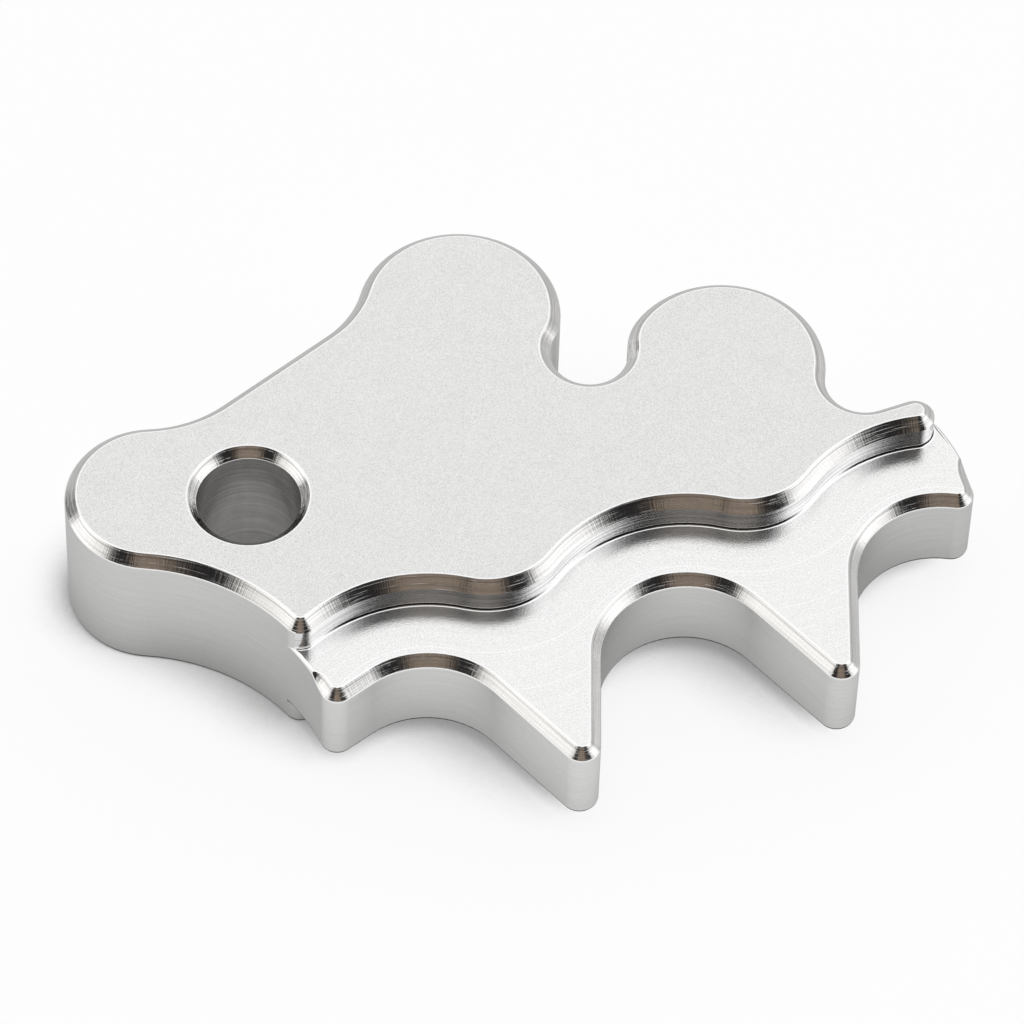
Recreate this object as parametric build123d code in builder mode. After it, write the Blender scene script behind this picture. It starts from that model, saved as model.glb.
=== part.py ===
from build123d import *
from math import asin, atan2, cos, hypot, pi, radians, sin, sqrt
import os

# Machined aluminium plate: a thick body with a thinner toothed rim along its front, one solid.
# Millimetres. Origin on the bore axis at the underside, +Z up, +X along the row of teeth.

# Heights
plate_thickness = 16.0
ledge_depth = 3.6
rim_thickness = 9.8

# Bore and edge treatment
bore_diameter = 10.0
bore_chamfer = 0.95
body_chamfer = 1.1
rim_chamfer = 1.05
edge_break = 0.25

# Rounded left end and the hollow wall in front of it
end_x, end_y = -8.65, 3.65
end_radius = 8.35
wall_radius = 20.3
wall_heading = -115.2

# Teeth: three gullets on one pitch, pointed tips between them
tooth_pitch = 26.7
gullet_x, gullet_y = 7.05, -29.9
gullet_radius = 8.45
tip_depth = 5.6
tip_radius = 1.85
corner_radius = 1.7
first_tip_standoff = 0.45

# Ledge between the gullets and the waved step wall
ledge_width = 6.7
crest_radius = 8.4

# Slanted right-hand end of the rim
side_angle = 84.7
side_distance = 68.85
side_straight = 1.0
side_radius = 22.0
rear_corner_radius = 3.0

# Neck at the right: its rear edge and the middle of its rounded nose
neck_y = -11.4
nose_x = 64.25
neck_fillet = 3.75

# Two equal lobes, and the round-bottomed notch between them with its blended mouth
lobe_radius = 10.0
left_lobe_x, left_lobe_y = 27.25, 14.1
right_lobe_x, right_lobe_y = 49.15, -1.0
notch_x, notch_y = 37.4, 5.05
notch_radius = 3.8
notch_blend = 6.0

# Straight rear web that passes behind the bore
web_angle = 19.3
web_distance = 10.5
web_lobe_fillet = 10.0
web_end_fillet = 12.0

# Round ends of the rim chamfer on its two end walls: where each starts, and how tight it is
left_chamfer_end = 3.6
left_run_out_radius = 1.4
right_chamfer_end = -4.9
right_run_out_radius = 3.6
plain_edge_sweep = 24.0

# Derived heights
ledge_z = plate_thickness - ledge_depth
rim_z = ledge_z - rim_thickness


def circles_meet(a, reach_a, b, reach_b):
    """Point at the two given distances from a and b, on the left when looking from a to b."""
    span = hypot(b[0] - a[0], b[1] - a[1])
    ux, uy = (b[0] - a[0]) / span, (b[1] - a[1]) / span
    along = (span**2 + reach_a**2 - reach_b**2) / (2 * span)
    aside = sqrt(max(reach_a**2 - along**2, 0.0))
    return (a[0] + along * ux - aside * uy, a[1] + along * uy + aside * ux)


def line_meets(origin, heading, offset, centre, reach, side):
    """Point offset to the left of a line and at a given distance from centre."""
    ux, uy = cos(radians(heading)), sin(radians(heading))
    px, py = origin[0] - offset * uy, origin[1] + offset * ux
    along = (centre[0] - px) * ux + (centre[1] - py) * uy
    off = (centre[1] - py) * ux - (centre[0] - px) * uy
    along += side * sqrt(max(reach**2 - off**2, 0.0))
    return (px + along * ux, py + along * uy)


def joint(first, second):
    """Where the path leaves one disc and meets the next: the two ends of their shared tangent.

    A disc is (centre, radius); the radius is negative where the path runs around it clockwise.
    """
    (ax, ay), ra = first
    (bx, by), rb = second
    span = hypot(bx - ax, by - ay)
    lean = asin(max(-1.0, min(1.0, (rb - ra) / span)))
    heading = atan2(by - ay, bx - ax) - lean
    nx, ny = -sin(heading), cos(heading)
    return (ax - ra * nx, ay - ra * ny), (bx - rb * nx, by - rb * ny)


def bend(disc, start, stop):
    """Arc about a disc from start to stop, in the disc's own sense of turning."""
    (cx, cy), radius = disc
    first = atan2(start[1] - cy, start[0] - cx)
    last = atan2(stop[1] - cy, stop[0] - cx)
    if radius > 0:
        turn = (last - first) % (2 * pi)
    else:
        turn = -((first - last) % (2 * pi))
    middle = first + turn / 2
    size = abs(radius)
    ThreePointArc(start, (cx + size * cos(middle), cy + size * sin(middle)), stop)


def trace(discs, start, stop):
    """Arcs about the discs in order, with straights wherever two neighbours do not touch."""
    here = start
    for disc, following in zip(discs, discs[1:]):
        leave, arrive = joint(disc, following)
        bend(disc, here, leave)
        here = leave
        if hypot(arrive[0] - leave[0], arrive[1] - leave[1]) > 0.001:
            Line(leave, arrive)
            here = arrive
    bend(discs[-1], here, stop)


# Discs of the body outline, anticlockwise from the rounded left end
end_disc = ((end_x, end_y), end_radius)
wall_reach = end_radius + wall_radius
wall_x = end_x + wall_reach * cos(radians(wall_heading))
wall_y = end_y + wall_reach * sin(radians(wall_heading))
wall = (wall_x, wall_y)
gullets = [(gullet_x + i * tooth_pitch, gullet_y) for i in range(3)]
step_radius = gullet_radius + ledge_width
step_tip = circles_meet(wall, wall_radius + corner_radius, gullets[0], step_radius + corner_radius)
crest_reach = step_radius + crest_radius
crests = [circles_meet(a, crest_reach, b, crest_reach) for a, b in zip(gullets, gullets[1:])]
neck_rise = neck_y - gullet_y
nose_run = nose_x - gullets[2][0]
nose_radius = (nose_run**2 + neck_rise**2 - step_radius**2) / (2 * (neck_rise + step_radius))
nose = (nose_x, neck_y - nose_radius)

right_lobe = (right_lobe_x, right_lobe_y)
left_lobe = (left_lobe_x, left_lobe_y)
neck_reach = lobe_radius + neck_fillet
neck_inside = line_meets((0, neck_y), 0, neck_fillet, right_lobe, neck_reach, 1)
notch = (notch_x, notch_y)
blend_reach = notch_radius + notch_blend
lobe_inside = lobe_radius - notch_blend
blend_right = circles_meet(notch, blend_reach, right_lobe, lobe_inside)
blend_left = circles_meet(left_lobe, lobe_inside, notch, blend_reach)
web_foot = (-web_distance * sin(radians(web_angle)), web_distance * cos(radians(web_angle)))
lobe_reach = lobe_radius + web_lobe_fillet
end_reach = end_radius + web_end_fillet
web_right = line_meets(web_foot, web_angle, web_lobe_fillet, left_lobe, lobe_reach, -1)
web_left = line_meets(web_foot, web_angle, web_end_fillet, (end_x, end_y), end_reach, 1)

body_discs = [
    end_disc,
    (wall, -wall_radius),
    (step_tip, corner_radius),
    (gullets[0], -step_radius),
    (crests[0], crest_radius),
    (gullets[1], -step_radius),
    (crests[1], crest_radius),
    (gullets[2], -step_radius),
    (nose, nose_radius),
    (neck_inside, -neck_fillet),
    (right_lobe, lobe_radius),
    (blend_right, notch_blend),
    (notch, -notch_radius),
    (blend_left, notch_blend),
    (left_lobe, lobe_radius),
    (web_right, -web_lobe_fillet),
    (web_left, -web_end_fillet),
]

body_start = joint(body_discs[-1], end_disc)[0]

# Discs of the rim outline, from the hollow wall round the teeth to the right-hand end
first_reach = gullet_radius + corner_radius + first_tip_standoff
first_tip = circles_meet(wall, wall_radius + corner_radius, gullets[0], first_reach)
tooth_tips = [(x + tooth_pitch / 2, y - tip_depth) for x, y in gullets[:2]]
side_x = cos(radians(side_angle))
side_y = sin(radians(side_angle))
side_foot = (side_distance * side_y, -side_distance * side_x)
last_reach = gullet_radius + corner_radius
last_tip = line_meets(side_foot, side_angle, corner_radius, gullets[2], last_reach, 1)
side_start = (last_tip[0] + corner_radius * side_y, last_tip[1] - corner_radius * side_x)
side_stop = (side_start[0] + side_straight * side_x, side_start[1] + side_straight * side_y)
side_centre = (side_stop[0] - side_radius * side_y, side_stop[1] + side_radius * side_x)
rear_y = neck_y - rear_corner_radius
rear_reach = side_radius - rear_corner_radius
rear_corner = line_meets((0, rear_y), 0, 0, side_centre, rear_reach, 1)

rim_discs = [
    (wall, -wall_radius),
    (first_tip, corner_radius),
    (gullets[0], -gullet_radius),
    (tooth_tips[0], tip_radius),
    (gullets[1], -gullet_radius),
    (tooth_tips[1], tip_radius),
    (gullets[2], -gullet_radius),
    (last_tip, corner_radius),
    (side_centre, side_radius),
    (rear_corner, rear_corner_radius),
]
rim_start = line_meets((0, neck_y), 0, 0, wall, wall_radius, 1)
rim_stop = (rear_corner[0], neck_y)


def rim_outline():
    """Closed outline of the rim; its rear side is a straight line inside the body and neck."""
    trace(rim_discs, rim_start, rim_stop)
    Line(rim_stop, rim_start)


def plain_edge(disc, first, tool_radius):
    """Top layer of the rim where its edge has no chamfer, with the round end the tool left.

    It lies about the disc, anticlockwise from the bearing where the chamfer has full width.
    """
    (cx, cy), radius = disc
    size = abs(radius)
    stand_off = size + tool_radius if radius > 0 else size - tool_radius
    tool_x = cx + stand_off * cos(radians(first))
    tool_y = cy + stand_off * sin(radians(first))
    low = ledge_z - rim_chamfer
    with BuildPart() as piece:
        with BuildSketch(Plane.XY.offset(low)):
            with BuildLine():
                rim_outline()
            make_face()
        extrude(amount=rim_chamfer)
        chamfer(piece.faces().sort_by(Axis.Z)[-1].edges(), length=edge_break)
        with BuildSketch(Plane.XY.offset(low)):
            with BuildLine():
                inner = CenterArc((cx, cy), size - 3 * rim_chamfer, first, plain_edge_sweep)
                outer = CenterArc((cx, cy), size + 3 * rim_chamfer, first, plain_edge_sweep)
                Line(inner @ 0, outer @ 0)
                Line(inner @ 1, outer @ 1)
            make_face()
        extrude(amount=rim_chamfer, mode=Mode.INTERSECT)
        with Locations((tool_x, tool_y, low)):
            Cone(tool_radius, tool_radius + rim_chamfer, rim_chamfer,
                 align=(Align.CENTER, Align.CENTER, Align.MIN), mode=Mode.SUBTRACT)
    return piece.part


# Rim: thinner than the body, set in from both of its faces, chamfered all round on top
with BuildPart() as rim:
    with BuildSketch(Plane.XY.offset(rim_z)):
        with BuildLine():
            rim_outline()
        make_face()
    extrude(amount=rim_thickness)
    chamfer(rim.faces().sort_by(Axis.Z)[-1].edges(), length=rim_chamfer)
    chamfer(rim.faces().sort_by(Axis.Z)[0].edges(), length=edge_break)

left_plain_edge = plain_edge(rim_discs[0], left_chamfer_end, left_run_out_radius)
right_plain_edge = plain_edge(rim_discs[-2], right_chamfer_end, right_run_out_radius)

# The plate: body, rim and bore as one solid
with BuildPart() as machined_plate:
    with BuildSketch():
        with BuildLine():
            trace(body_discs, body_start, body_start)
        make_face()
    extrude(amount=plate_thickness)
    chamfer(machined_plate.faces().sort_by(Axis.Z)[-1].edges(), length=body_chamfer)
    chamfer(machined_plate.faces().sort_by(Axis.Z)[0].edges(), length=edge_break)
    add(rim.part)
    add(left_plain_edge)
    add(right_plain_edge)
    Hole(bore_diameter / 2)
    bore_edges = machined_plate.edges().filter_by(GeomType.CIRCLE)
    bore_edges = bore_edges.filter_by(lambda e: hypot(e.arc_center.X, e.arc_center.Y) < 0.001)
    chamfer(bore_edges.sort_by(Axis.Z)[-1], length=bore_chamfer)
machined_plate.part.label = "machined_plate"

os.makedirs("parts", exist_ok=True)
export_step(machined_plate.part, "parts/machined_plate.step")
print("volume", round(machined_plate.part.volume, 1), "mm3")
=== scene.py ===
# %% [markdown]
# # A machined aluminium plate
#
# The object is one plate of aluminium, cut on a milling machine. It has a flat top with a fine
# blasted skin, satin side walls, a lower milled ledge with pointed teeth, and a narrow bright
# chamfer on every upper edge. Such a plate could be modelled from nothing, or it could start
# from the exact CAD solid. The solid's shape is already right, so this lesson starts from a
# copy of it, and spends its time on what the solid lacks: tiny rounded edges that catch light,
# and a finish for each kind of cut surface.

# %% Load the frame
from math import atan2, cos, hypot, pi, radians, sin

import bmesh
import bpy
from mathutils import Matrix, Vector, kdtree


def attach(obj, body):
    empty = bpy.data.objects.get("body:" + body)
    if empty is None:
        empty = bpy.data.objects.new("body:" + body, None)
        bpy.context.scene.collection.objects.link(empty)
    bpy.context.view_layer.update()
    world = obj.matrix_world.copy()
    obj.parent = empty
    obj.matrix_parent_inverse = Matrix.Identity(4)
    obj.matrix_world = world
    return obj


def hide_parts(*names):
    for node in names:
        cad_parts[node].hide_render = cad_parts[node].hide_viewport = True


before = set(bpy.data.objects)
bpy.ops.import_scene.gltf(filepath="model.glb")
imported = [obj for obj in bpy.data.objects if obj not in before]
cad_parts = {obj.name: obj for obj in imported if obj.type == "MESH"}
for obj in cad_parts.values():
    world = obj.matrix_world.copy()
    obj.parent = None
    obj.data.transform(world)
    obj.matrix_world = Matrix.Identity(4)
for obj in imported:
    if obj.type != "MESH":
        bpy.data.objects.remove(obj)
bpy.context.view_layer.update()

MM = 0.001

# %% [markdown]
# ## Camera
#
# The photograph looks down on the plate from its front left corner, at 54 degrees above the
# table, with a long lens, so the far side is hardly smaller than the near side. A camera can be
# aimed with rotation angles or built from three directions. The three directions (right, up and
# back) are used here, because they came straight out of matching the plate's outline.

# %% Camera
CAMERA_PLACE = Vector((-133.670, -375.019, 562.078)) * MM
CAMERA_RIGHT = Vector((0.92955581, -0.36807418, 0.02115176))
CAMERA_UP = Vector((0.28644631, 0.75714597, 0.58709325))
CAMERA_BACK = CAMERA_RIGHT.cross(CAMERA_UP)
LENS_MM = 246.92
SENSOR_MM = 36

bpy.ops.object.camera_add()
camera = bpy.context.object
camera.name = "camera"
turn = Matrix((CAMERA_RIGHT, CAMERA_UP, CAMERA_BACK)).transposed()
camera.matrix_world = Matrix.Translation(CAMERA_PLACE) @ turn.to_4x4()
camera.data.lens = LENS_MM
camera.data.sensor_width = SENSOR_MM
camera.data.clip_start = 0.05
camera.data.clip_end = 20
bpy.context.scene.camera = camera
bpy.context.scene.view_settings.view_transform = "Standard"
print("camera at", [round(c, 3) for c in CAMERA_PLACE], "lens", LENS_MM)

# %% [markdown]
# ## Small helpers for nodes
#
# A material or a sky is a small network of nodes. Each node is made the same way: choose a
# kind, set its options, then give each input a number or a link. One helper does that, and
# three more do arithmetic, soft steps and colour mixing, so that the networks below read like
# formulas.

# %% Node helpers
def node(tree, kind, inputs=None, **options):
    """Adds a node. Each input is a number, a colour or the socket of another node."""
    made = tree.nodes.new("ShaderNode" + kind)
    for name, value in options.items():
        setattr(made, name, value)
    for key, value in (inputs or {}).items():
        if isinstance(value, bpy.types.NodeSocket):
            tree.links.new(value, made.inputs[key])
        else:
            made.inputs[key].default_value = value
    return made


def maths(tree, operation, *values):
    """One step of arithmetic on numbers or sockets."""
    return node(tree, "Math", dict(enumerate(values)), operation=operation).outputs[0]


def soft_step(tree, value, start, stop):
    """Rises smoothly from 0 at start to 1 at stop. Start may be the higher of the two."""
    ends = {0: value, 1: start, 2: stop}
    if start > stop:
        ends = {0: value, 1: stop, 2: start, 3: 1.0, 4: 0.0}
    return node(tree, "MapRange", ends, interpolation_type="SMOOTHSTEP").outputs[0]


def mix_colour(tree, share, first, second):
    """Blends two colours; a share of 1 gives the second."""
    mixed = node(tree, "Mix", {0: share, 6: first, 7: second}, data_type="RGBA")
    return mixed.outputs[2]


print("helpers:", [helper.__name__ for helper in (node, maths, soft_step, mix_colour)])

# %% [markdown]
# ## Studio light
#
# Bright metal shows the room, so the room decides how a chamfer looks. This one is the usual
# tabletop tent: a white dome all round, a slightly stronger white panel at each side that fades
# towards the front, a low gap behind each panel, and a dark opening at the front, where the
# camera stands. Panels could be modelled as planes. They are painted into the sky instead, by
# bearing and height in degrees, because the sky is free of noise and gives every chamfer on the
# plate the same reflections. A bearing of 0 is the front, and it grows to the right. The front
# is a fixed direction of this room, so it stays where it is when the camera moves.

# %% Sky directions
FRONT_SIDE = Vector((-0.3951, -0.9186, 0.0))
RIGHT_SIDE = Vector((0.9186, -0.3951, 0.0))

world = bpy.data.worlds.new("studio")
bpy.context.scene.world = world
world.use_nodes = True
sky = world.node_tree
sky.nodes.clear()
direction = node(sky, "TexCoord").outputs["Generated"]


def along(axis):
    """How far the sky's direction points along an axis."""
    made = node(sky, "VectorMath", {0: direction, 1: axis}, operation="DOT_PRODUCT")
    return made.outputs["Value"]


def between(value, first, last, soft):
    """1 from first to last degrees, fading to 0 over soft degrees at each end. The spans below
    are these three numbers."""
    rise = soft_step(sky, value, first - soft / 2, first + soft / 2)
    fall = soft_step(sky, value, last + soft / 2, last - soft / 2)
    return maths(sky, "MULTIPLY", rise, fall)


bearing = maths(sky, "ARCTAN2", along(RIGHT_SIDE), along(FRONT_SIDE))
bearing = maths(sky, "DEGREES", bearing)
height = maths(sky, "DEGREES", maths(sky, "ARCSINE", along((0, 0, 1))))
print("sky directions:", len(sky.nodes), "nodes")

# %% [markdown]
# The dome greys a little towards the horizon. Each panel has a colour, a span of bearings, the
# colour that it turns to at the front, and the bearings between which it does. A gap is a dim
# colour and its span. Lamps could stand in their place, but a blend of two colours has no noise
# and is moved or dimmed by changing one number.

# %% Dome, panels and gaps
DOME_WHITE = (1.0, 1.0, 1.0, 1)
HORIZON_GREY = (0.62, 0.62, 0.62, 1)
HORIZON_FADE = (0, 14)
PANEL_TOP_FADE = (80, 60)
LEFT_PANEL = (1.14, 1.13, 1.12, 1), (-100, -40, 10), (0.90, 0.885, 0.86, 1), (-84, -56)
RIGHT_PANEL = (1.16, 1.16, 1.16, 1), (40, 100, 10), (1.00, 1.00, 1.00, 1), (84, 64)
LEFT_GAP = (0.15, 0.15, 0.15, 1), (-130, -102, 9)
RIGHT_GAP = (0.56, 0.56, 0.56, 1), (105, 126, 9)
GAP_TOP_FADE = (20, 11)

colour = mix_colour(sky, soft_step(sky, height, *HORIZON_FADE), HORIZON_GREY, DOME_WHITE)
below_top = soft_step(sky, height, *PANEL_TOP_FADE)
for panel, span, front, fade in (LEFT_PANEL, RIGHT_PANEL):
    shade = mix_colour(sky, soft_step(sky, bearing, *fade), panel, front)
    place = maths(sky, "MULTIPLY", between(bearing, *span), below_top)
    colour = mix_colour(sky, place, colour, shade)
low = soft_step(sky, height, *GAP_TOP_FADE)
for gap, span in (LEFT_GAP, RIGHT_GAP):
    place = maths(sky, "MULTIPLY", between(bearing, *span), low)
    colour = mix_colour(sky, place, colour, gap)
print("dome and panels:", len(sky.nodes), "nodes")

# %% [markdown]
# The opening at the front gives the chamfers their dark parts. It is nearly black at its sides.
# Its middle is brown and a little cluttered, as a room is, and turns grey above. A plain dark
# patch would do as well, but the chamfers would then look printed.

# %% Dark opening
OPENING_DARK = (0.022, 0.021, 0.021, 1)
OPENING_SPAN, OPENING_HEIGHTS = (-50, 60, 14), (19, 70, 8)
CLUTTER_SPAN = (-20, 24, 16)
CLUTTER_DARK = (0.085, 0.066, 0.054, 1)
CLUTTER_LIGHT = (0.38, 0.305, 0.24, 1)
CLUTTER_HIGH, HIGH_FADE = (0.165, 0.16, 0.155, 1), (42, 50)
CLUTTER_WIDTH, CLUTTER_HEIGHT = 4.0, 2.5
CLUTTER_EDGES = (0.35, 0.65)

window = between(height, *OPENING_HEIGHTS)
opening = maths(sky, "MULTIPLY", between(bearing, *OPENING_SPAN), window)
colour = mix_colour(sky, opening, colour, OPENING_DARK)
brown = maths(sky, "MULTIPLY", between(bearing, *CLUTTER_SPAN), window)
place = node(sky, "CombineXYZ", {0: maths(sky, "DIVIDE", bearing, CLUTTER_WIDTH),
                                 1: maths(sky, "DIVIDE", height, CLUTTER_HEIGHT)}).outputs[0]
clutter = node(sky, "TexNoise", {"Vector": place, "Scale": 1.0, "Detail": 1.0}).outputs[0]
clutter = mix_colour(sky, soft_step(sky, clutter, *CLUTTER_EDGES), CLUTTER_DARK, CLUTTER_LIGHT)
clutter = mix_colour(sky, soft_step(sky, height, *HIGH_FADE), clutter, CLUTTER_HIGH)
colour = mix_colour(sky, brown, colour, clutter)
print("opening:", len(sky.nodes), "nodes")

# %% [markdown]
# Behind the plate the photograph is nearly white. A white wall would do that, but it would also
# show in the metal. So the camera sees a plain backdrop where reflections see the painted room,
# and Light Path tells the two apart.

# %% Backdrop
BACKDROP = (0.99, 0.99, 0.99, 1)

seen = node(sky, "LightPath").outputs["Is Camera Ray"]
light = node(sky, "Background", {"Color": colour, "Strength": 1.0})
backdrop = node(sky, "Background", {"Color": BACKDROP, "Strength": 1.0})
shown = node(sky, "MixShader", {0: seen, 1: light.outputs[0], 2: backdrop.outputs[0]})
node(sky, "OutputWorld", {"Surface": shown.outputs[0]})
print("whole sky:", len(sky.nodes), "nodes")

# %% [markdown]
# ## Floor
#
# The plate lies on white paper that runs out of sight. Paper could be lit until it turns white,
# but then the metal would be too bright as well. Instead the paper keeps a plain pale colour for
# the light it throws back, and glows for the camera and for reflections.

# %% Floor plane
FLOOR_SIZE, FLOOR_DROP = 12, 0.02 * MM

bpy.ops.mesh.primitive_plane_add(size=FLOOR_SIZE, location=(0, 0, -FLOOR_DROP))
floor = bpy.context.object
floor.name = "floor"
paper = bpy.data.materials.new("white_paper")
paper.use_nodes = True
floor.data.materials.append(paper)
print("floor", [round(d, 2) for d in floor.dimensions])

# %% [markdown]
# The paper glows less where the plate stands close by, and that is the soft shadow. Ambient
# occlusion measures how much of the light is blocked within a short reach. In the photograph the
# shadow is deep between the teeth and missing at their tips, as if the main light came from the
# right. So the occlusion leans to that side instead of looking straight up. A lamp would cast a
# shadow too, but it would put a hard highlight on every chamfer as well.

# %% Soft shadow
WHITE, FLOOR_GLOW = (1, 1, 1, 1), 0.87
LIGHT_LEAN = Vector((0.69, -0.30, 0))
SHADOW_REACH, SHADOW_DEPTH = 12 * MM, 0.72
SHADOW_FADE = (0.40, 0.68)

tree = paper.node_tree
tree.nodes.clear()
up = node(tree, "NewGeometry").outputs["Normal"]
lean = node(tree, "VectorMath", {0: up, 1: LIGHT_LEAN}, operation="ADD").outputs[0]
lean = node(tree, "VectorMath", {0: lean}, operation="NORMALIZE").outputs[0]
open_sky = node(tree, "AmbientOcclusion", {"Distance": SHADOW_REACH, "Normal": lean}, samples=12)
blocked = maths(tree, "SUBTRACT", 1.0, open_sky.outputs["AO"])
enclosed = soft_step(tree, blocked, *SHADOW_FADE)
shade = maths(tree, "MULTIPLY_ADD", enclosed, -SHADOW_DEPTH * FLOOR_GLOW, FLOOR_GLOW)
seen_glow = node(tree, "Emission", {"Color": WHITE, "Strength": shade})
print("soft shadow:", len(tree.nodes), "nodes")

# %% [markdown]
# The photographed metal mirrors a brighter floor towards the front of the room and a darker one
# at the back, so in reflections the paper's glow rises along that fixed direction. Its shadow is
# shorter there, and needs no lean.

# %% Glow in the metal
GLOW_AT_BACK, GLOW_AT_FRONT = 0.44, 0.80
FRONT_FADE = (-20 * MM, 80 * MM)
SHADOW_REACH_IN_METAL = 7 * MM

spot = node(tree, "NewGeometry").outputs["Position"]
forward = node(tree, "VectorMath", {0: spot, 1: FRONT_SIDE}, operation="DOT_PRODUCT")
forward = soft_step(tree, forward.outputs["Value"], *FRONT_FADE)
level = maths(tree, "MULTIPLY_ADD", forward, GLOW_AT_FRONT - GLOW_AT_BACK, GLOW_AT_BACK)
near = node(tree, "AmbientOcclusion", {"Distance": SHADOW_REACH_IN_METAL}, samples=5)
level = maths(tree, "MULTIPLY", level, near.outputs["AO"])
metal_glow = node(tree, "Emission", {"Color": WHITE, "Strength": level})
print("glow in the metal:", len(tree.nodes), "nodes")

# %% [markdown]
# Light Path picks the right glow for each ray. Seen from below, the paper is clear, and so it is
# for reflections in the underside, which touches it, so that the underside can be looked at.

# %% Floor shader
FLOOR_COLOUR = (0.15, 0.15, 0.15, 1)
TOUCHING = 0.1 * MM

path = node(tree, "LightPath").outputs
seen = maths(tree, "ADD", path["Is Camera Ray"], path["Is Transmission Ray"])
glow = node(tree, "MixShader", {0: path["Is Glossy Ray"], 2: metal_glow.outputs[0]})
glow = node(tree, "MixShader", {0: seen, 1: glow.outputs[0], 2: seen_glow.outputs[0]})
matt = node(tree, "BsdfDiffuse", {"Color": FLOOR_COLOUR})
lit = node(tree, "AddShader", {0: matt.outputs[0], 1: glow.outputs[0]})
clear = node(tree, "BsdfTransparent")
touching = maths(tree, "LESS_THAN", path["Ray Length"], TOUCHING)
below = maths(tree, "MAXIMUM", node(tree, "NewGeometry").outputs["Backfacing"], touching)
both = node(tree, "MixShader", {0: below, 1: lit.outputs[0], 2: clear.outputs[0]})
node(tree, "OutputMaterial", {"Surface": both.outputs[0]})
print("whole paper:", len(tree.nodes), "nodes")

# %% [markdown]
# ## The plate's mesh
#
# A CAD mesh comes as loose triangles. The copy is welded first, and triangles that lie in one
# plane are dissolved into one face, so that an edge of the mesh is an edge of the real plate.
# The solid itself stays as it is, hidden behind the copy.

# %% Copy and weld
def pick(faces=None, edges=None):
    """In edit mode, selects only the faces or edges that pass the test, and counts them."""
    bpy.ops.mesh.select_all(action="DESELECT")
    mesh = bmesh.from_edit_mesh(bpy.context.object.data)
    count = 0
    for thing in mesh.faces if faces else mesh.edges:
        if (faces or edges)(thing):
            thing.select_set(True)
            count += 1
    bmesh.update_edit_mesh(bpy.context.object.data)
    return count


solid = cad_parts["machined_plate"]
bpy.ops.object.select_all(action="DESELECT")
plate = bpy.data.objects.new("plate", solid.data.copy())
bpy.context.scene.collection.objects.link(plate)
bpy.context.view_layer.objects.active = plate
plate.select_set(True)
plate.data.materials.clear()

bpy.ops.object.mode_set(mode="EDIT")
bpy.ops.mesh.select_mode(type="EDGE")
bpy.ops.mesh.customdata_custom_splitnormals_clear()
bpy.ops.mesh.select_all(action="SELECT")
bpy.ops.mesh.remove_doubles(threshold=0.002 * MM)
bpy.ops.mesh.dissolve_limited(angle_limit=radians(0.5))
bpy.ops.object.mode_set(mode="OBJECT")
print("welded:", len(plate.data.vertices), "corners,", len(plate.data.polygons), "faces")

# %% [markdown]
# ## Following the outline
#
# A cutter leaves its marks along the edge it follows, so the pattern of a wall or a chamfer has
# to know how far along the outline it is, and which way the outline runs there. The welded mesh
# has that outline as a chain of short straight edges, between a wall and a chamfer. There are
# two, one for the body and one for the rim.

# %% Chains of edges
BODY_OUTLINE, RIM_OUTLINE = 14.9 * MM, 2.85 * MM
BORE_SIDE = 7 * MM
SAME_LEVEL = 0.01 * MM
WALL_SLOPE, CHAMFER_SLOPES = 0.1, (0.3, 0.95)
CLOSED = 3 * MM


def links_at(mesh, level):
    """Each outline corner at one height, with the corners that it joins."""
    links = {}
    for edge in mesh.edges:
        ends = [v.co for v in edge.verts]
        flat = all(abs(c.z - level) < SAME_LEVEL and hypot(c.x, c.y) > BORE_SIDE for c in ends)
        slopes = sorted(abs(face.normal.z) for face in edge.link_faces)
        if flat and slopes[0] < WALL_SLOPE and CHAMFER_SLOPES[0] < slopes[1] < CHAMFER_SLOPES[1]:
            for a, b in (edge.verts, reversed(edge.verts)):
                links.setdefault(a, []).append(b)
    return links


def chain_at(level):
    """The longest chain of edges at one height, as points seen from above."""
    mesh = bmesh.new()
    mesh.from_mesh(plate.data)
    links = links_at(mesh, level)
    chains = []
    while links:
        here = min(links, key=lambda v: (len(links[v]), v.index))
        chain, first = [here.co.xy.copy()], here
        while here in links:
            onward = [v for v in links.pop(here) if v in links]
            if not onward:
                break
            here = onward[0]
            chain.append(here.co.xy.copy())
        if (here.co - first.co).length < CLOSED:
            chain.append(chain[0].copy())
        chains.append(chain)
    mesh.free()
    return max(chains, key=len)


chains = [chain_at(level) for level in (BODY_OUTLINE, RIM_OUTLINE)]
print("outline corners:", [len(chain) for chain in chains])

# %% [markdown]
# Each edge of a chain belongs to an arc or to a straight, and an arc shows as equal bends at
# neighbouring corners. From the bend, the true direction of the curve is known at every point,
# better than the short edges show it. Marks every few hundredths of a millimetre store it.

# %% Marks along the curve
SAMPLE = 0.03 * MM
SAME_BEND = 0.04


def bends_of(chain):
    """How strongly the chain bends at each corner, as one over the radius."""
    bends = [0.0] * len(chain)
    for i in range(1, len(chain) - 1):
        before, after = chain[i] - chain[i - 1], chain[i + 1] - chain[i]
        across = (chain[i + 1] - chain[i - 1]).length
        bends[i] = 2 * before.cross(after) / (before.length * after.length * across)
    return bends


def bend_of_edge(bends, i):
    """The bend of the arc that an edge lies on, or 0 for a straight."""
    near = [bends[k] if 0 < k < len(bends) - 1 else None for k in (i - 1, i, i + 1, i + 2)]
    for first, second in ((1, 2), (2, 3), (0, 1)):
        pair = near[first], near[second]
        if None not in pair and abs(pair[0] - pair[1]) < SAME_BEND * abs(pair[0]):
            return pair[0] if first != 0 else pair[1]
    return 0.0


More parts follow.
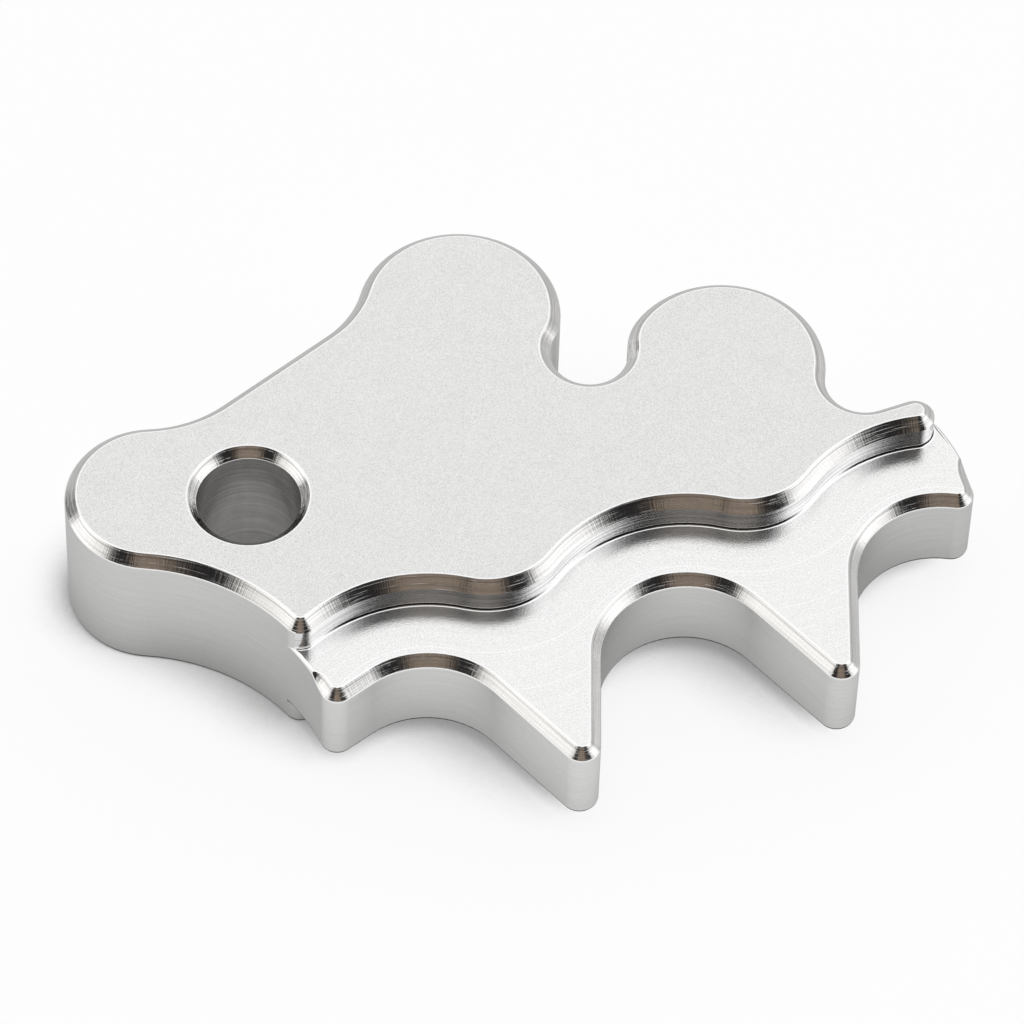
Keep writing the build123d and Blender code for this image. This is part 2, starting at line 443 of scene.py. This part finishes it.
def follow(chain):
    """Marks along a chain, each with its distance and the true heading of the curve there."""
    bends, marks, run = bends_of(chain), [], 0.0
    for i in range(len(chain) - 1):
        step = chain[i + 1] - chain[i]
        bend, heading = bend_of_edge(bends, i), atan2(step.y, step.x)
        steps = max(1, int(step.length / SAMPLE))
        for k in range(steps):
            share = k / steps
            turned = heading + (share - 0.5) * bend * step.length
            marks.append((chain[i].lerp(chain[i + 1], share), run + share * step.length, turned))
        run += step.length
    return marks, run


class Outline:
    """Looks up the mark nearest to a point, seen from above."""

    def __init__(self, chain):
        self.marks, self.length = follow(chain)
        self.tree = kdtree.KDTree(len(self.marks))
        for i, (point, _, _) in enumerate(self.marks):
            self.tree.insert((point.x, point.y, 0), i)
        self.tree.balance()

    def nearest(self, point):
        """The gap to the nearest mark, its distance along the outline and its heading."""
        _, i, gap = self.tree.find((point.x, point.y, 0))
        return gap, self.marks[i][1], self.marks[i][2]


outlines = [Outline(chain) for chain in chains]
print("outlines:", [round(line.length / MM, 1) for line in outlines], "mm long")

# %% [markdown]
# ## Rounded edges
#
# No machined edge is perfectly sharp. A cutter leaves the step's foot with a small hollow
# corner, and a touch of the deburring tool leaves every outer edge with a hair-thin round. In
# the photograph those rounds are the white lines along the chamfers. A bevel on just the sharp
# edges makes both, and three tests find those edges by height and angle.

# %% Tests for edges
LEDGE, TOP = 12.4 * MM, 16 * MM
UNDER_EDGE, NEAR_TOP = 3 * MM, 15 * MM
SHARP, HOLLOW = radians(30), -1.0


def is_step_foot(edge):
    """The hollow edge between the ledge and the step's wall."""
    level = all(abs(v.co.z - LEDGE) < SAME_LEVEL for v in edge.verts)
    return level and edge.calc_face_angle_signed(0.0) < HOLLOW


def is_outer_edge(edge):
    """Sharp outer edges, but not the lower ones nor the one between chamfer and step wall."""
    if edge.calc_face_angle_signed(0.0) < SHARP or edge.verts[0].co.z < UNDER_EDGE:
        return False
    lowest = min(v.co.z for face in edge.link_faces for v in face.verts)
    return lowest < LEDGE or any(v.co.z > NEAR_TOP for v in edge.verts)


def is_lower_edge(edge):
    """Sharp edges near the underside."""
    low = all(v.co.z < UNDER_EDGE for v in edge.verts)
    return low and edge.calc_face_angle_signed(0.0) > SHARP


print("ledge at", round(LEDGE / MM, 1), "mm, lower edges below", round(UNDER_EDGE / MM, 1), "mm")

# %% [markdown]
# The hollow corner comes first and is the widest. The bevels' own faces go to a second material
# slot, so that they are easy to find again.

# %% Bevels
FOOT_ROUND, EDGE_ROUND, LOWER_ROUND = 0.28 * MM, 0.11 * MM, 0.2 * MM
ROUND_SLOT = 1

for slot in range(ROUND_SLOT + 1):
    plate.data.materials.append(bpy.data.materials.new(f"slot_{slot}"))
bpy.ops.object.mode_set(mode="EDIT")
for test, width, segments in ((is_step_foot, FOOT_ROUND, 4), (is_outer_edge, EDGE_ROUND, 2),
                              (is_lower_edge, LOWER_ROUND, 2)):
    print(test.__name__, pick(edges=test), "edges")
    bpy.ops.mesh.bevel(offset=width, segments=segments, affect="EDGES", clamp_overlap=False,
                       material=ROUND_SLOT)
bpy.ops.object.mode_set(mode="OBJECT")
bpy.ops.object.shade_smooth_by_angle(angle=radians(35))
print("rounded:", len(plate.data.vertices), "corners,", len(plate.data.polygons), "faces")

# %% [markdown]
# ## True directions
#
# A polished wall shows the smallest error in its direction as a wobble in the reflection.
# Averaging the flat faces would do for a dull surface. Here each wall and chamfer gets the
# direction of the real curve instead, from the outline.

# %% True direction of a face
FLAT_SLOPE = 0.99
TRUSTED = cos(radians(12))


def main_normal(face, point):
    """The true direction of a wall, chamfer or flat at a point on it."""
    slope = face.normal.z
    if abs(slope) > FLAT_SLOPE:
        return Vector((0, 0, 1 if slope > 0 else -1))
    flat = Vector((face.normal.x, face.normal.y)).normalized()
    if hypot(face.center.x, face.center.y) < BORE_SIDE:
        level = -Vector((point.x, point.y)).normalized()
    else:
        _, _, heading = min(line.nearest(point) for line in outlines)
        level = Vector((sin(heading), -cos(heading)))
        if level.dot(flat) < 0:
            level.negate()
    if level.dot(flat) < TRUSTED:
        return face.normal.copy()
    spread = (1 - slope * slope) ** 0.5
    return Vector((level.x * spread, level.y * spread, slope))


mesh = plate.data
owned = {}
for face in mesh.polygons:
    if face.material_index != ROUND_SLOT:
        for index in face.vertices:
            owned.setdefault(index, []).append(main_normal(face, mesh.vertices[index].co))
print("true directions at", len(owned), "corners")

# %% [markdown]
# Each rounded edge blends between its two neighbours: where it meets a main face it takes that
# face's direction, and in its middle the sum of the faces around. The result is stored as the
# mesh's own normals.

# %% Normals
WRONG_WAY = 0.3

shared = {}
for face in mesh.polygons:
    for index in face.vertices:
        shared.setdefault(index, Vector((0, 0, 0)))
        shared[index] += face.normal
normals = [None] * len(mesh.loops)
for face in mesh.polygons:
    for corner in face.loop_indices:
        index = mesh.loops[corner].vertex_index
        if face.material_index != ROUND_SLOT:
            normal = main_normal(face, mesh.vertices[index].co)
        elif index in owned:
            normal = max(owned[index], key=lambda n: n.dot(face.normal))
        else:
            normal = shared[index].normalized()
        if normal.dot(face.normal) < WRONG_WAY:
            normal = face.normal.copy()
        normals[corner] = normal
mesh.normals_split_custom_set(normals)
print("true normals on", len(normals), "face corners")

# %% [markdown]
# ## A map along the outline
#
# Each corner of each face gets two numbers in a UV map named "cut": how far along the outline
# it lies, and how high it is, both in millimetres. The numbers jump back to zero where the
# outline closes, so a face that straddles the jump counts on past it. Unwrapping would also
# give a map, but not one whose first direction is the way of the cutter.

# %% Cut map
BORE_RADIUS = 5.0
BORE_SLOPE = 0.95

cut_map = mesh.uv_layers.new(name="cut")
for face in mesh.polygons:
    centre = face.center
    if hypot(centre.x, centre.y) < BORE_SIDE and abs(face.normal.z) < BORE_SLOPE:
        around = [(atan2(mesh.vertices[i].co.y, mesh.vertices[i].co.x) + pi) * BORE_RADIUS
                  for i in face.vertices]
        total = 2 * pi * BORE_RADIUS
    else:
        line = min(outlines, key=lambda each: each.nearest(centre)[0])
        around = [line.nearest(mesh.vertices[i].co)[1] / MM for i in face.vertices]
        total = line.length / MM
    high = max(around)
    for corner, index, run in zip(face.loop_indices, face.vertices, around):
        run += total if high - run > total / 2 else 0
        cut_map.data[corner].uv = (run, mesh.vertices[index].co.z / MM)
print("cut map on", len(cut_map.data), "face corners")

# %% [markdown]
# ## Patterns
#
# Every finish on this plate is metal, and they differ mostly in the marks of the tool. Four
# patterns make all of them, each in a node group of its own so that it can be used again with
# other numbers. Painted images would also do, but they blur when the camera comes near, and a
# formula doesn't. The first pattern is grain, which is read from the object's own position.

# %% Grain
def new_group(name, inputs, result):
    """An empty node group with number inputs and one number output."""
    group = bpy.data.node_groups.new(name, "ShaderNodeTree")
    for label, value in inputs.items():
        socket = group.interface.new_socket(label, in_out="INPUT", socket_type="NodeSocketFloat")
        socket.default_value = value
    group.interface.new_socket(result, in_out="OUTPUT", socket_type="NodeSocketFloat")
    start = group.nodes.new("NodeGroupInput")
    end = group.nodes.new("NodeGroupOutput")
    return group, start.outputs, end.inputs[0]


def noise(tree, vector, detail, roughness):
    """A cloudy value of one unit's size at a place."""
    made = node(tree, "TexNoise", {"Vector": vector, "Scale": 1.0, "Detail": detail,
                                   "Roughness": roughness})
    return made.outputs[0]


def stretched(tree, vector, x, y, z):
    """A place multiplied by a number or a socket in each direction."""
    scale = node(tree, "CombineXYZ", {0: x, 1: y, 2: z}).outputs[0]
    return node(tree, "VectorMath", {0: vector, 1: scale}, operation="MULTIPLY").outputs[0]


def make_grain():
    """Fine random grain. Size is the width of a grain in millimetres."""
    group, given, result = new_group("fine_grain", {"Size": 0.14}, "Grain")
    place = node(group, "TexCoord").outputs["Object"]
    density = maths(group, "DIVIDE", 1 / MM, given["Size"])
    spot = stretched(group, place, density, density, density)
    group.links.new(noise(group, spot, detail=2.0, roughness=0.6), result)
    return group


grain_group = make_grain()
print(grain_group.name, len(grain_group.nodes), "nodes")

# %% [markdown]
# The second pattern is lines. They are noise on the cut map, stretched along the cutter's way or
# across it, so they follow every curve of the outline.

# %% Tool lines
def make_lines():
    """Lines in the cut map. Along and Across are lines per millimetre in each direction."""
    group, given, result = new_group("tool_lines", {"Along": 3.0, "Across": 0.2}, "Lines")
    run = node(group, "UVMap", uv_map="cut").outputs["UV"]
    spot = stretched(group, run, given["Along"], given["Across"], 0.0)
    group.links.new(noise(group, spot, detail=3.0, roughness=0.65), result)
    return group


lines_group = make_lines()
print(lines_group.name, len(lines_group.nodes), "nodes")

# %% [markdown]
# The third is one thin line along each chamfer, where the tool's corner rubbed. It is a distance
# to a fixed height in the cut map.

# %% Edge line
def make_edge_line():
    """A single thin line that runs along each chamfer, just below its upper edge."""
    group, given, result = new_group("edge_line", {"Below": 0.25, "Width": 0.07}, "Line")
    run = node(group, "UVMap", uv_map="cut").outputs["UV"]
    high = node(group, "SeparateXYZ", {0: run}).outputs[1]
    gaps = []
    for flat in (LEDGE, TOP):
        depth = maths(group, "SUBTRACT", flat / MM, high)
        gaps.append(maths(group, "ABSOLUTE", maths(group, "SUBTRACT", depth, given["Below"])))
    gap = maths(group, "MINIMUM", *gaps)
    away = maths(group, "DIVIDE", gap, given["Width"])
    line = maths(group, "MAXIMUM", maths(group, "SUBTRACT", 1.0, away), 0.0)
    group.links.new(line, result)
    return group


edge_group = make_edge_line()
print(edge_group.name, len(edge_group.nodes), "nodes")

# %% [markdown]
# The last is the distance from the step, for the ledge. The cutter went round the ledge at fixed
# distances from the step, and each pass left a hair line where it met the next one. The step is
# a wave of two kinds of arc, one round each gullet and one round a point behind each tooth, and
# it repeats with the teeth. So the distance is a little geometry, in millimetres, instead of a
# stored map.

# %% Milling passes
PITCH, GULLET_X, GULLET_Y = 26.7, 7.05, -29.9
STEP_ROUND_GULLET, STEP_ROUND_TOOTH, TOOTH_CENTRE_UP = 15.15, 8.4, 19.4


def make_passes():
    """Distance from the step, in millimetres, at any point of the ledge."""
    group, given, result = new_group("milling_passes", {"Shift": 0.0}, "Distance")
    place = node(group, "TexCoord").outputs["Object"]
    place = node(group, "VectorMath", {0: place, 1: (1 / MM,) * 3}, operation="MULTIPLY")
    x, y, _ = node(group, "SeparateXYZ", {0: place.outputs[0]}).outputs
    aside = maths(group, "PINGPONG", maths(group, "SUBTRACT", x, GULLET_X), PITCH / 2)
    up = maths(group, "SUBTRACT", y, GULLET_Y)

    def distance(dx, dy):
        square = maths(group, "MULTIPLY", dx, dx)
        return maths(group, "SQRT", maths(group, "MULTIPLY_ADD", dy, dy, square))

    round_gullet = maths(group, "SUBTRACT", STEP_ROUND_GULLET, distance(aside, up))
    to_tooth = maths(group, "SUBTRACT", PITCH / 2, aside)
    above = maths(group, "SUBTRACT", up, TOOTH_CENTRE_UP)
    round_tooth = maths(group, "SUBTRACT", distance(to_tooth, above), STEP_ROUND_TOOTH)
    ahead = maths(group, "MULTIPLY", up, PITCH / 2)
    side = maths(group, "SUBTRACT", maths(group, "MULTIPLY", aside, TOOTH_CENTRE_UP), ahead)
    chosen = node(group, "Mix", {0: maths(group, "GREATER_THAN", side, 0.0), 2: round_gullet,
                                 3: round_tooth}).outputs[0]
    group.links.new(maths(group, "ADD", chosen, given["Shift"]), result)
    return group


passes_group = make_passes()
print(passes_group.name, len(passes_group.nodes), "nodes")

# %% [markdown]
# ## Finishes
#
# Each finish mixes its patterns twice: once into the colour and roughness, where a mark is
# slightly darker and duller than the metal beside it, and once into a relief so shallow that it
# only bends reflections. The helpers below do that from a list, in which each pattern has its
# weight in the colour and its weight in the relief. A finish is then a few lines of numbers.

# %% Helpers for finishes
def use(tree, group, **settings):
    """Adds a pattern group and returns its value."""
    made = node(tree, "Group", node_tree=group)
    for label, value in settings.items():
        made.inputs[label].default_value = value
    return made.outputs[0]


def blend(tree, patterns, column, middle):
    """Adds up the patterns, each about its middle, with the weights in one column."""
    total = middle
    for pattern, *weights in patterns:
        if weights[column]:
            about_zero = maths(tree, "SUBTRACT", pattern, 0.5)
            weighted = maths(tree, "MULTIPLY", about_zero, weights[column])
            total = maths(tree, "ADD", total, weighted)
    return total


finishes = {}


def new_metal(name):
    """An empty material, kept by its name."""
    made = bpy.data.materials.new(name)
    made.use_nodes = True
    made.node_tree.nodes.clear()
    finishes[name] = made
    return made.node_tree


def complete(tree, patterns, dark, bright, rough, relief, middle=0.5, bare=1.0):
    """Shader from patterns of (value, weight in colour, weight in relief). Dark and bright are
    the ends of the colour, and rough has the roughness at each. Relief is in millimetres. Bare
    is the share of bare metal; the rest scatters light as a cloudy skin does."""
    share = node(tree, "Clamp", {0: blend(tree, patterns, 0, middle)}).outputs[0]
    colour = mix_colour(tree, share, (*dark, 1), (*bright, 1))
    roughness = node(tree, "MapRange", {0: share, 3: rough[0], 4: rough[1]}).outputs[0]
    bump = node(tree, "Bump", {"Height": blend(tree, patterns, 1, 0.5), "Distance": relief * MM})
    shader = node(tree, "BsdfPrincipled", {"Base Color": colour, "Metallic": bare,
                                           "Roughness": roughness, "Normal": bump.outputs[0]})
    node(tree, "OutputMaterial", {"Surface": shader.outputs[0]})
    print(list(finishes)[-1], len(tree.nodes), "nodes")


print("patterns to mix:", [group.name for group in bpy.data.node_groups])

# %% [markdown]
# The top is blasted with fine beads, which leaves a matt grain about as wide as a hair. The
# underside is hidden in the photograph and gets the same. A picture of such a skin would do,
# but noise has no seams. Half of the skin is bare metal and half scatters light, so that it
# stays lighter than the polished cuts where it faces the dark opening.

# %% Blasted faces
tree = new_metal("blasted_face")
complete(tree, [(use(tree, grain_group, Size=0.085), 4.6, 1.0),
                (use(tree, grain_group, Size=4.0), 0.2, 0.0)],
         (0.68, 0.68, 0.675), (1.0, 1.0, 0.995), rough=(0.55, 0.45), relief=0.006, middle=0.67,
         bare=0.5)

# %% [markdown]
# The ledge is smoother and carries the cutter's passes: soft tracks at the same distance from
# the step, and two hair lines where passes meet. They could be drawn on an image of the ledge.
# The distance from the step draws them here: noise across it gives the tracks, with a slow
# second noise that lets them change on their way, and two fixed values of it give the hairs.

# %% Milled ledge
HAIR_LINES = ((4.95, 1.0), (9.5, 0.55))
HAIR_FADE = (0.075, 0.02)
TRACKS_PER_MM, WAVES_PER_METRE = 5.0, 90

tree = new_metal("milled_ledge")
distance = use(tree, passes_group)
place = node(tree, "TexCoord").outputs["Object"]
place = node(tree, "VectorMath", {0: place, 1: (WAVES_PER_METRE,) * 3},
             operation="MULTIPLY").outputs[0]
waver = noise(tree, place, detail=0.0, roughness=0.5)
spot = node(tree, "CombineXYZ", {0: maths(tree, "MULTIPLY", distance, TRACKS_PER_MM),
                                 1: waver}).outputs[0]
tracks = noise(tree, spot, detail=3.0, roughness=0.7)
hair = 0.0
for pass_at, strength in HAIR_LINES:
    gap = maths(tree, "ABSOLUTE", maths(tree, "SUBTRACT", distance, pass_at))
    line = maths(tree, "MULTIPLY", soft_step(tree, gap, *HAIR_FADE), strength)
    hair = maths(tree, "ADD", hair, line)
complete(tree, [(use(tree, grain_group, Size=0.11), 2.6, 1.3), (tracks, 0.5, 0.4),
                (maths(tree, "ADD", hair, 0.5), 0.45, 0.0)],
         (0.78, 0.78, 0.775), (1.0, 1.0, 0.995), rough=(0.22, 0.15), relief=0.010)

# %% [markdown]
# The walls are satin, with faint brushing that runs along them. Anisotropic gloss would stretch
# the reflections in a similar way, but evenly. A relief of long thin lines keeps the single
# strokes, and the cut map bends them round each curve.

# %% Satin walls
tree = new_metal("satin_wall")
complete(tree, [(use(tree, lines_group, Along=0.12, Across=3.0), 1.2, 0.8),
                (use(tree, grain_group, Size=0.2), 0.7, 0.6)],
         (0.80, 0.80, 0.79), (0.94, 0.94, 0.93), rough=(0.34, 0.28), relief=0.003)

# %% [markdown]
# The chamfers and the step were cut last by sharp tools and are nearly mirrors. On a chamfer the
# tool's chatter crosses the edge and its path runs along it, with one line from the tool's
# corner. The step has long fine streaks. A plain mirror would be simpler, and would look like
# plated plastic. The lines are what makes both of them cut metal.

# %% Chamfers and step
tree = new_metal("bright_chamfer")
complete(tree, [(use(tree, lines_group, Along=4.5, Across=0.25), 0.25, 1.0),
                (use(tree, lines_group, Along=0.06, Across=4.5), 1.6, 2.8),
                (use(tree, grain_group, Size=0.085), 0.9, 0.0),
                (maths(tree, "SUBTRACT", 0.5, use(tree, edge_group)), 0.75, 0.15)],
         (0.55, 0.54, 0.53), (1.0, 0.995, 0.985), rough=(0.15, 0.04), relief=0.014, middle=0.72)

tree = new_metal("polished_step")
complete(tree, [(use(tree, lines_group, Along=0.06, Across=3.0), 1.9, 2.0),
                (use(tree, grain_group, Size=0.085), 0.6, 0.4),
                (use(tree, lines_group, Along=2.2, Across=0.3), 0.2, 0.3)],
         (0.30, 0.305, 0.31), (1.0, 1.0, 1.0), rough=(0.16, 0.07), relief=0.014, middle=0.8)

# %% [markdown]
# The bore has the close rings of a reamer. It looks darker than the rest, because it mostly
# mirrors its own far side, and its metal is a little darker too. Rings could be cut into the
# mesh, but they are much finer than a mesh should be, so they are lines round the cut map.

# %% Reamed bore
tree = new_metal("reamed_bore")
complete(tree, [(use(tree, lines_group, Along=0.08, Across=2.5), 1.8, 1.5),
                (use(tree, lines_group, Along=0.8, Across=0.3), 0.6, 0.3)],
         (0.52, 0.515, 0.50), (0.90, 0.89, 0.87), rough=(0.22, 0.16), relief=0.006)

# %% [markdown]
# The rounds have finishes of their own. The outer ones are burnished and catch the light. The
# lower ones are dull, and their dark colour is painted shade: it draws the thin line where the
# plate meets the table. The hollow corner at the step's foot is painted nearly black along part
# of each bend and left bright along the rest, a painted reflection of the dark opening. One dark
# colour all along would look inked, so a mask that repeats with the teeth gives both.

# %% Rounded edges' finishes
# Where the painted dark reflection lies along the step's foot; it repeats with the teeth.
DARK_REFLECTION_X = GULLET_X + 5.7
DARK_REFLECTION_FADE = (8.8, 11.4)

tree = new_metal("burnished_edge")
complete(tree, [(use(tree, grain_group, Size=0.5), 0.5, 0.2)],
         (0.92, 0.92, 0.915), (1.0, 1.0, 1.0), rough=(0.12, 0.08), relief=0.002)

# Painted reflection: the hollow corner's near-black colour stands in for the dark opening.
tree = new_metal("foot_groove_painted_reflection")
place = node(tree, "TexCoord").outputs["Object"]
x = maths(tree, "DIVIDE", node(tree, "SeparateXYZ", {0: place}).outputs[0], MM)
from_dark_reflection = maths(tree, "PINGPONG", maths(tree, "SUBTRACT", x, DARK_REFLECTION_X), PITCH / 2)
complete(tree, [(soft_step(tree, from_dark_reflection, *DARK_REFLECTION_FADE), 1.0, 0.0),
                (use(tree, lines_group, Along=1.5, Across=0.1), 0.15, 1.0)],
         (0.012, 0.012, 0.012), (1.0, 1.0, 1.0), rough=(0.30, 0.12), relief=0.002)

# Painted shade: the lower rounds are painted dark to draw the plate's contact line.
tree = new_metal("dull_edge_painted_shade")
complete(tree, [(use(tree, grain_group, Size=0.4), 1.0, 0.5)],
         (0.09, 0.09, 0.09), (0.22, 0.22, 0.215), rough=(0.45, 0.35), relief=0.003)

# %% [markdown]
# ## Finishes on faces
#
# Each face gets its finish from its slope and its height, which tell the cuts apart. The slope
# is how far the face looks up: 1 for a flat, 0 for a wall, below 0 for the underside. Faces
# could also be picked one by one, but a rule finds them again if the plate is changed.

# %% Finish of a face
NEARLY_FLAT, FACES_UP, FACES_DOWN, GROOVE_SLOPE = 0.97, 0.1, -0.5, 0.75
GROOVE_HEIGHT, CHAMFERS_ABOVE, BORE_WALL = 1 * MM, 10 * MM, 5.3 * MM


def kind_of(face):
    """The finish of a face, from its slope and its height."""
    slope, centre = face.normal.z, face.center
    lowest = min(mesh.vertices[i].co.z for i in face.vertices)
    is_round = face.material_index == ROUND_SLOT
    if slope < -NEARLY_FLAT:
        return "blasted_face"
    # The hollow corner's faces take the painted dark reflection.
    if is_round and 0 < centre.z - LEDGE < GROOVE_HEIGHT and slope < GROOVE_SLOPE:
        return "foot_groove_painted_reflection"
    if is_round:
        # Lower rounds take the painted shade, outer ones the burnished finish.
        return "burnished_edge" if centre.z > UNDER_EDGE else "dull_edge_painted_shade"
    if slope > NEARLY_FLAT:
        return "blasted_face" if centre.z > NEAR_TOP else "milled_ledge"
    if slope < FACES_DOWN:
        return "satin_wall"
    if slope > FACES_UP:
        return "bright_chamfer" if centre.z > CHAMFERS_ABOVE else "satin_wall"
    if hypot(centre.x, centre.y) < BORE_WALL:
        return "reamed_bore"
    return "polished_step" if lowest > LEDGE - SAME_LEVEL else "satin_wall"


kinds = [kind_of(face) for face in mesh.polygons]
print({name: kinds.count(name) for name in finishes})

# %% [markdown]
# The plate stays one object with nine slots, because it is one piece of metal. The finishes go
# on in edit mode, as by hand: select the faces of one kind, choose the slot, assign. The plate
# then takes the solid's place in the frame.

# %% Assign finishes
plate.data.materials.clear()
for material in finishes.values():
    plate.data.materials.append(material)
bpy.ops.object.mode_set(mode="EDIT")
bpy.ops.mesh.select_mode(type="FACE")
for index, name in enumerate(finishes):
    count = pick(faces=lambda face: kinds[face.index] == name)
    plate.active_material_index = index
    bpy.ops.object.material_slot_assign()
    print(name, count, "faces")
bpy.ops.mesh.select_all(action="DESELECT")
bpy.ops.object.mode_set(mode="OBJECT")

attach(plate, "root")
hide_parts("machined_plate")
